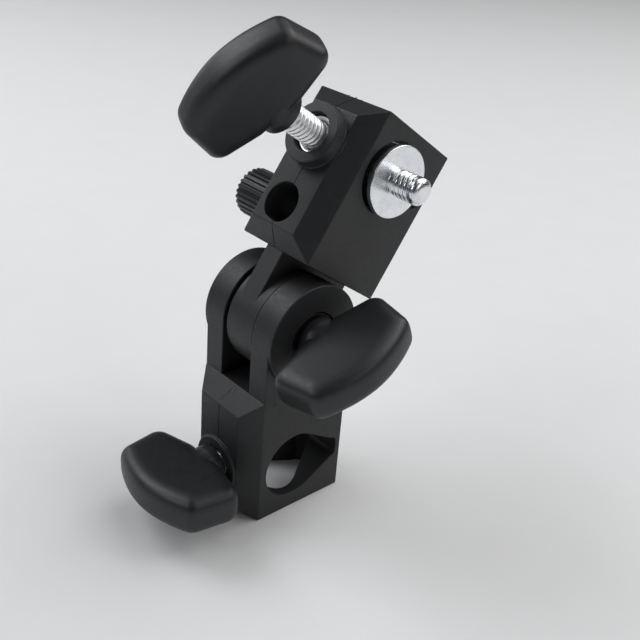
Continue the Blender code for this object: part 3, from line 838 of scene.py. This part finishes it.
def build_bush(prefix, matrix, origin, body, face, mats):
    """Round bush pressed into the boss, with an internal chamfer; its knurl is not modelled."""
    inner = SCREW_R + 0.2 * MM
    low = face - INSERT_LEN
    profile = soften([(inner, low + 2 * MM), (inner, low), (INSERT_R, low),
                      (INSERT_R, face), (inner + 0.55 * MM, face), (inner, face - 0.55 * MM),
                      (inner, low + 2 * MM)], 0.3 * MM)[:-1]
    ring = lathe(profile, 96)
    stand = matrix @ Matrix.Translation(Vector(origin)) @ AXES["-Y"]
    finish_piece(ring, prefix + "_bush", body, [prefix + "_insert"],
                 mats["zinc"], stand, 50.0)


def build_hinge_hardware(mats):
    disc = HALF_W + EAR_DISC
    stand = HINGE_FRAME @ Matrix.Translation((-disc + 0.2 * MM, 0, 0)) @ AXES["X"]
    rim = NUT_AF / math.sqrt(3)
    nut = prism(circle(rim, count=6), "Z", 0.0, NUT_LEN, "nut")
    face = NUT_AF * 0.5 * 0.93
    trim = lathe(soften([(0.0, -1 * MM), (face, -1 * MM), (face, 0.0), (rim + 0.2 * MM, 0.9 * MM),
                         (rim + 0.2 * MM, NUT_LEN - 0.9 * MM), (face, NUT_LEN),
                         (face, NUT_LEN + 1 * MM), (0.0, NUT_LEN + 1 * MM)], 0.1 * MM), 96)
    boolean(nut, trim, "INTERSECT")
    cut(nut, opening(circle(SCREW_R + 0.2 * MM, count=64), "Z", 0.0, NUT_LEN, 0.3 * MM, 0.3 * MM))
    tidy(nut)
    finish_piece(nut, "hinge_hex_nut", "base", ["hinge_nut"], mats["zinc"], stand)

    def ring(name, cad, slot, inner, outer, thick, x, material):
        profile = soften([(inner, thick / 2), (inner, 0.0), (outer, 0.0), (outer, thick),
                          (inner, thick), (inner, thick / 2)], thick * 0.25)[:-1]
        made = lathe(profile, 96)
        finish_piece(made, name, "base", [cad], material,
                     HINGE_FRAME @ Matrix.Translation((x, 0, 0)) @ AXES["X"], 50.0)

    ring("hinge_flat_washer", "hinge_washer", "washer_hinge", SCREW_R + 0.3 * MM, 5.9 * MM,
         0.8 * MM, disc - 1.0 * MM, mats["black_steel"])
    slot = (EAR_INNER - BARREL_HALF - FRICTION_T) / 2
    ring("friction_disc_near", "friction_near", "friction_pad_near", 4.2 * MM, FRICTION_R,
         FRICTION_T, BARREL_HALF + slot, mats["rubber"])
    ring("friction_disc_far", "friction_far", "friction_pad_far", 4.2 * MM, FRICTION_R,
         FRICTION_T, -EAR_INNER + slot, mats["rubber"])


def build_spigot(material):
    """Turned spigot: barrel with a waist, flange face and the threaded stud."""
    face = HALF_W + GAP
    end = -HALF_W + 2.5 * MM
    length = face - end
    waist = SPIGOT_R - 0.9 * MM
    body = soften([(0.0, 0.0), (SPIGOT_R, 0.0), (SPIGOT_R, 5 * MM), (waist, 5.9 * MM),
                   (waist, length - 7.4 * MM), (SPIGOT_R, length - 6.5 * MM), (SPIGOT_R, length),
                   (FLANGE_R, length), (FLANGE_R, length + FLANGE_T)], 0.35 * MM)[:-1]
    top = length + FLANGE_T
    profile = body + [(FLANGE_R, top - 0.2 * MM), (FLANGE_R - 0.07 * MM, top - 0.06 * MM),
                      (FLANGE_R - 0.22 * MM, top)]
    step = 0.11 * MM
    r = FLANGE_R - 0.4 * MM
    k = 0
    while r > SCREW_R + 0.5 * MM:
        profile.append((r, top - (0.012 * MM if k % 2 else 0.0)))
        r -= step
        k += 1
    relief = SCREW_R - 0.35 * MM
    profile += [(SCREW_R + 0.3 * MM, top - 0.02 * MM), (relief, top + 0.1 * MM),
                (relief, top + 0.55 * MM), (SCREW_R, top + 0.9 * MM)]
    plain = top + STUD_LEN - 1.75 * MM
    profile += [(SCREW_R, plain), (SCREW_R + 1e-8, top + STUD_LEN - 1.5 * MM)]
    nose = 1.5 * MM
    flat = 1.15 * MM
    for i in range(1, 11):
        a = math.radians(90 * i / 10)
        profile.append((flat + (SCREW_R - flat) * math.cos(a), top + STUD_LEN - nose + nose * math.sin(a)))
    profile += [(1.0 * MM, top + STUD_LEN - 0.02 * MM), (0.7 * MM, top + STUD_LEN - 0.025 * MM),
                (0.5 * MM, top + STUD_LEN), (0.0, top + STUD_LEN)]
    rings = rod_rings(profile, SCREW_R, SCREW_ROOT, PITCH, top + 0.7 * MM, plain + 0.2 * MM, 96, 12)
    ob = skin(rings, "spigot")
    stand = UPPER_FRAME @ Matrix.Translation((end, SPIGOT_Y, UPPER_BORE_Z)) @ AXES["X"]
    finish_piece(ob, "spigot_with_stud", "spigot", ["spigot_adapter"], material, stand, 50.0)


def ridge(turn):
    """Rounded grip ridge, 1 on the crest and 0 in the groove."""
    t = abs((turn % 1.0) * 2 - 1)
    t = min(max((t - 0.3) / 0.34, 0.0), 1.0)
    return t * t * (3 - 2 * t)


def build_thumb(mats):
    base = (-HALF_W, THUMB_Y, UMB_Z)
    local = UPPER_FRAME @ Matrix.Translation(base) @ AXES["-X"]
    deep = 0.6 * MM
    bore = M5_R + 0.2 * MM
    count = THUMB_TEETH * 12
    profile = [(bore, -1.2 * MM, 0.0), (4.0 * MM, -1.2 * MM, 0.0), (4.2 * MM, -1.0 * MM, 0.0),
               (4.25 * MM, -0.15 * MM, 0.0), (4.5 * MM, 0.0, 0.0), (THUMB_R - 0.9 * MM, 0.0, 0.0),
               (THUMB_R - 0.5 * MM, 0.05 * MM, 0.3), (THUMB_R - 0.15 * MM, 0.25 * MM, 0.8),
               (THUMB_R, 0.6 * MM, 1.0), (THUMB_R, THUMB_LEN / 2, 1.0), (THUMB_R, THUMB_LEN - 0.8 * MM, 1.0),
               (THUMB_R - 0.12 * MM, THUMB_LEN - 0.35 * MM, 0.9),
               (THUMB_R - 0.45 * MM, THUMB_LEN - 0.08 * MM, 0.5),
               (THUMB_R - 0.9 * MM, THUMB_LEN, 0.0), (3.75 * MM, THUMB_LEN, 0.0),
               (3.55 * MM, THUMB_LEN - 0.12 * MM, 0.0), (3.2 * MM, THUMB_LEN - 0.8 * MM, 0.0),
               (1.2 * MM, THUMB_LEN - 0.75 * MM, 0.0), (0.0, THUMB_LEN - 0.72 * MM, 0.0)]
    rings = [[(0.0, 0.0, 5.0 * MM)], [(x, y, 5.0 * MM) for x, y in circle(bore, count=count)]]
    for radius, z, depth in profile:
        if radius == 0.0:
            rings.append([(0.0, 0.0, z)])
            continue
        ring = []
        for i in range(count):
            a = 2 * math.pi * i / count
            r = radius - deep * depth * (1 - ridge(i / 12.0))
            ring.append((r * math.cos(a), r * math.sin(a), z))
        rings.append(ring)
    grip = skin(rings, "grip")
    finish_piece(grip, "thumb_knurled_grip", "thumb_head", ["thumb_grip"], mats["grip"],
                 local @ Matrix.Translation((0, 0, THUMB_OFF)), 40.0)
    reach = HALF_W + UMB_X - UMB_R - 0.2 * MM
    stud = clamp_stud("thumb_stud", THUMB_OFF + 4.6 * MM + reach, M5_R, M5_ROOT, M5_PITCH,
                      4.0 * MM, 0.5 * MM, 48)
    finish_piece(stud, "thumb_lock_stud", "thumb_stud", ["thumb_screw"], mats["zinc"],
                 local @ Matrix.Translation((0, 0, THUMB_OFF + 4.6 * MM)) @ Matrix.Rotation(math.pi, 4, "X"),
                 50.0)
    profile = soften([(bore, -3 * MM), (bore, -5.5 * MM), (3.35 * MM, -5.5 * MM), (3.35 * MM, -0.2 * MM),
                      (bore, -0.2 * MM), (bore, -3 * MM)], 0.25 * MM)[:-1]
    bush = lathe(profile, 64)
    finish_piece(bush, "thumb_lock_bush", "upper", ["thumb_insert"], mats["brass"],
                 local, 50.0)


# ---- surroundings --------------------------------------------------------------------------
def build_stage():
    size = 4.0
    steps = 24
    level = -0.03 * MM
    bm = bmesh.new()
    grid = []
    for i in range(steps + 1):
        row = []
        for j in range(steps + 1):
            row.append(bm.verts.new((size * (i / steps - 0.5), size * (j / steps - 0.5), level)))
        grid.append(row)
    for i in range(steps):
        for j in range(steps):
            bm.faces.new((grid[i][j], grid[i + 1][j], grid[i + 1][j + 1], grid[i][j + 1]))
    floor = object_from_bmesh(bm, "stage_floor")
    mat, tree, bsdf = new_material("stage_paper")
    coord = node(tree, "ShaderNodeTexCoord").outputs["Object"]
    cloud = noise(tree, coord, 60.0, 3.0, 0.5)
    tree.links.new(mix_colour(tree, cloud, (0.80, 0.80, 0.80), (0.83, 0.83, 0.83)),
                   bsdf.inputs["Base Color"])
    bsdf.inputs["Roughness"].default_value = 0.85
    bsdf.inputs["Specular IOR Level"].default_value = 0.25
    floor.data.materials.append(mat)


WHITE = (1.0, 1.0, 1.0)
# name, place, size, power in watts, colour
LIGHTS = (("soft_top", (0.10, 0.35, 0.80), (0.9, 0.7), 2.7, WHITE),
          ("soft_back", (0.30, 0.75, 0.75), (1.0, 0.6), 4.5, WHITE),
          ("sky_left", (-0.50, -0.22, 0.62), (0.45, 0.40), 2.3, (0.94, 0.97, 1.0)),
          ("sky_front", (-0.20, -0.70, 0.60), (0.5, 0.4), 1.7, (0.96, 0.98, 1.0)),
          ("low_left", (-0.80, -0.10, 0.30), (0.5, 0.4), 0.8, WHITE),
          ("low_right", (0.80, 0.10, 0.50), (0.5, 0.4), 0.9, WHITE))


def area_light(name, place_at, aim, size, power, colour):
    data = bpy.data.lights.new(name, "AREA")
    data.shape = "RECTANGLE"
    data.size, data.size_y = size
    data.energy = power
    data.color = colour
    ob = bpy.data.objects.new(name, data)
    ob.location = place_at
    ob.rotation_mode = "QUATERNION"
    ob.rotation_quaternion = (Vector(aim) - Vector(place_at)).to_track_quat("-Z", "Y")
    bpy.context.scene.collection.objects.link(ob)
    return ob


def build_lights():
    world = bpy.data.worlds.new("studio")
    bpy.context.scene.world = world
    world.use_nodes = True
    back = world.node_tree.nodes["Background"]
    back.inputs["Color"].default_value = (0.9, 0.95, 1.0, 1.0)
    back.inputs["Strength"].default_value = 0.03
    centre = (0.0, 0.0, 60 * MM)
    for name, place_at, size, power, colour in LIGHTS:
        area_light(name, place_at, centre, size, power, colour)


def build_camera():
    """Three-quarter view from the front right and a little above, placed from the hinge."""
    data = bpy.data.cameras.new("camera")
    data.lens = LENS
    data.sensor_width = 36.0
    data.clip_start = 0.01
    data.clip_end = 20.0
    cam = bpy.data.objects.new("camera", data)
    bpy.context.scene.collection.objects.link(cam)
    flat = math.cos(CAMERA_ELEVATION)
    back = Vector((flat * math.cos(CAMERA_AZIMUTH), flat * math.sin(CAMERA_AZIMUTH),
                   math.sin(CAMERA_ELEVATION)))
    right = (-back).cross(Vector((0, 0, 1))).normalized()
    up = right.cross(-back)
    side = math.cos(CAMERA_ROLL) * right + math.sin(CAMERA_ROLL) * up
    top = -math.sin(CAMERA_ROLL) * right + math.cos(CAMERA_ROLL) * up
    turn = Matrix((side, top, back)).transposed()
    cam.matrix_world = Matrix.Translation(HINGE + CAMERA_OFFSET) @ turn.to_4x4()
    bpy.context.scene.camera = cam


def build_object():
    mats = {
        "lower": plastic("abs_black_lower", (0.0095, 0.0100, 0.0115), (0.017, 0.0178, 0.0198), 0.44, 0.58),
        "upper": plastic("abs_black_upper", (0.0105, 0.0110, 0.0125), (0.018, 0.0188, 0.0208), 0.44, 0.58,
                         seed=3.1),
        "knob": plastic("nylon_black_knob", (0.0085, 0.0092, 0.0112), (0.0145, 0.0155, 0.0182), 0.38, 0.5,
                        4600.0, 0.5, 7.7),
        "grip": plastic("nylon_black_grip", (0.012, 0.0128, 0.0148), (0.021, 0.022, 0.0245), 0.4, 0.52,
                        4600.0, 0.4, 9.2),
        "zinc": metal("zinc_plate", (0.96, 0.97, 0.98), (0.86, 0.88, 0.90), 0.38, 0.5),
        "black_steel": metal("black_oxide_steel", (0.045, 0.046, 0.05), (0.025, 0.026, 0.028), 0.4, 0.55),
        "brass": metal("brass", (0.80, 0.62, 0.30), (0.55, 0.42, 0.2), 0.25, 0.45),
        "rubber": rubber("friction_rubber"),
    }
    axis_point = UPPER_FRAME @ Vector((0, SPIGOT_Y, UPPER_BORE_Z))
    mats["spigot"] = turned_metal("turned_steel", axis_point)
    build_lower_block(mats["lower"])
    build_upper_block(mats["upper"])
    build_clamp("lower", BASE_FRAME, (0, PAD_FRONT, LOWER_BORE_Z), "-Y", LOWER_KNOB_OFF, 9.5 * MM,
                LOWER_KNOB_TURN, ("lower_paddle", "lower_stud"), mats)
    screw_tip = (SPIGOT_Y - SPIGOT_R - GAP) - PAD_FRONT
    build_clamp("upper", UPPER_FRAME, (0, PAD_FRONT, UPPER_BORE_Z), "-Y", UPPER_KNOB_OFF, screw_tip,
                UPPER_KNOB_TURN, ("upper_paddle", "upper_stud"), mats)
    disc = HALF_W + EAR_DISC
    build_clamp("hinge", HINGE_FRAME, (disc, 0, 0), "X", HINGE_KNOB_OFF, 2 * disc - 0.6 * MM,
                HINGE_KNOB_TURN, ("hinge_paddle", "hinge_stud"), mats)
    build_bush("lower", BASE_FRAME, (0, PAD_FRONT, LOWER_BORE_Z), "base",
               LOWER_BOSS_LEN - INSERT_DEEP, mats)
    build_bush("upper", UPPER_FRAME, (0, PAD_FRONT, UPPER_BORE_Z), "upper",
               BOSS_LEN - INSERT_DEEP, mats)
    build_hinge_hardware(mats)
    build_spigot(mats["spigot"])
    build_thumb(mats)


build_camera()
build_object()
build_stage()
build_lights()
bpy.context.scene.view_settings.view_transform = "Standard"
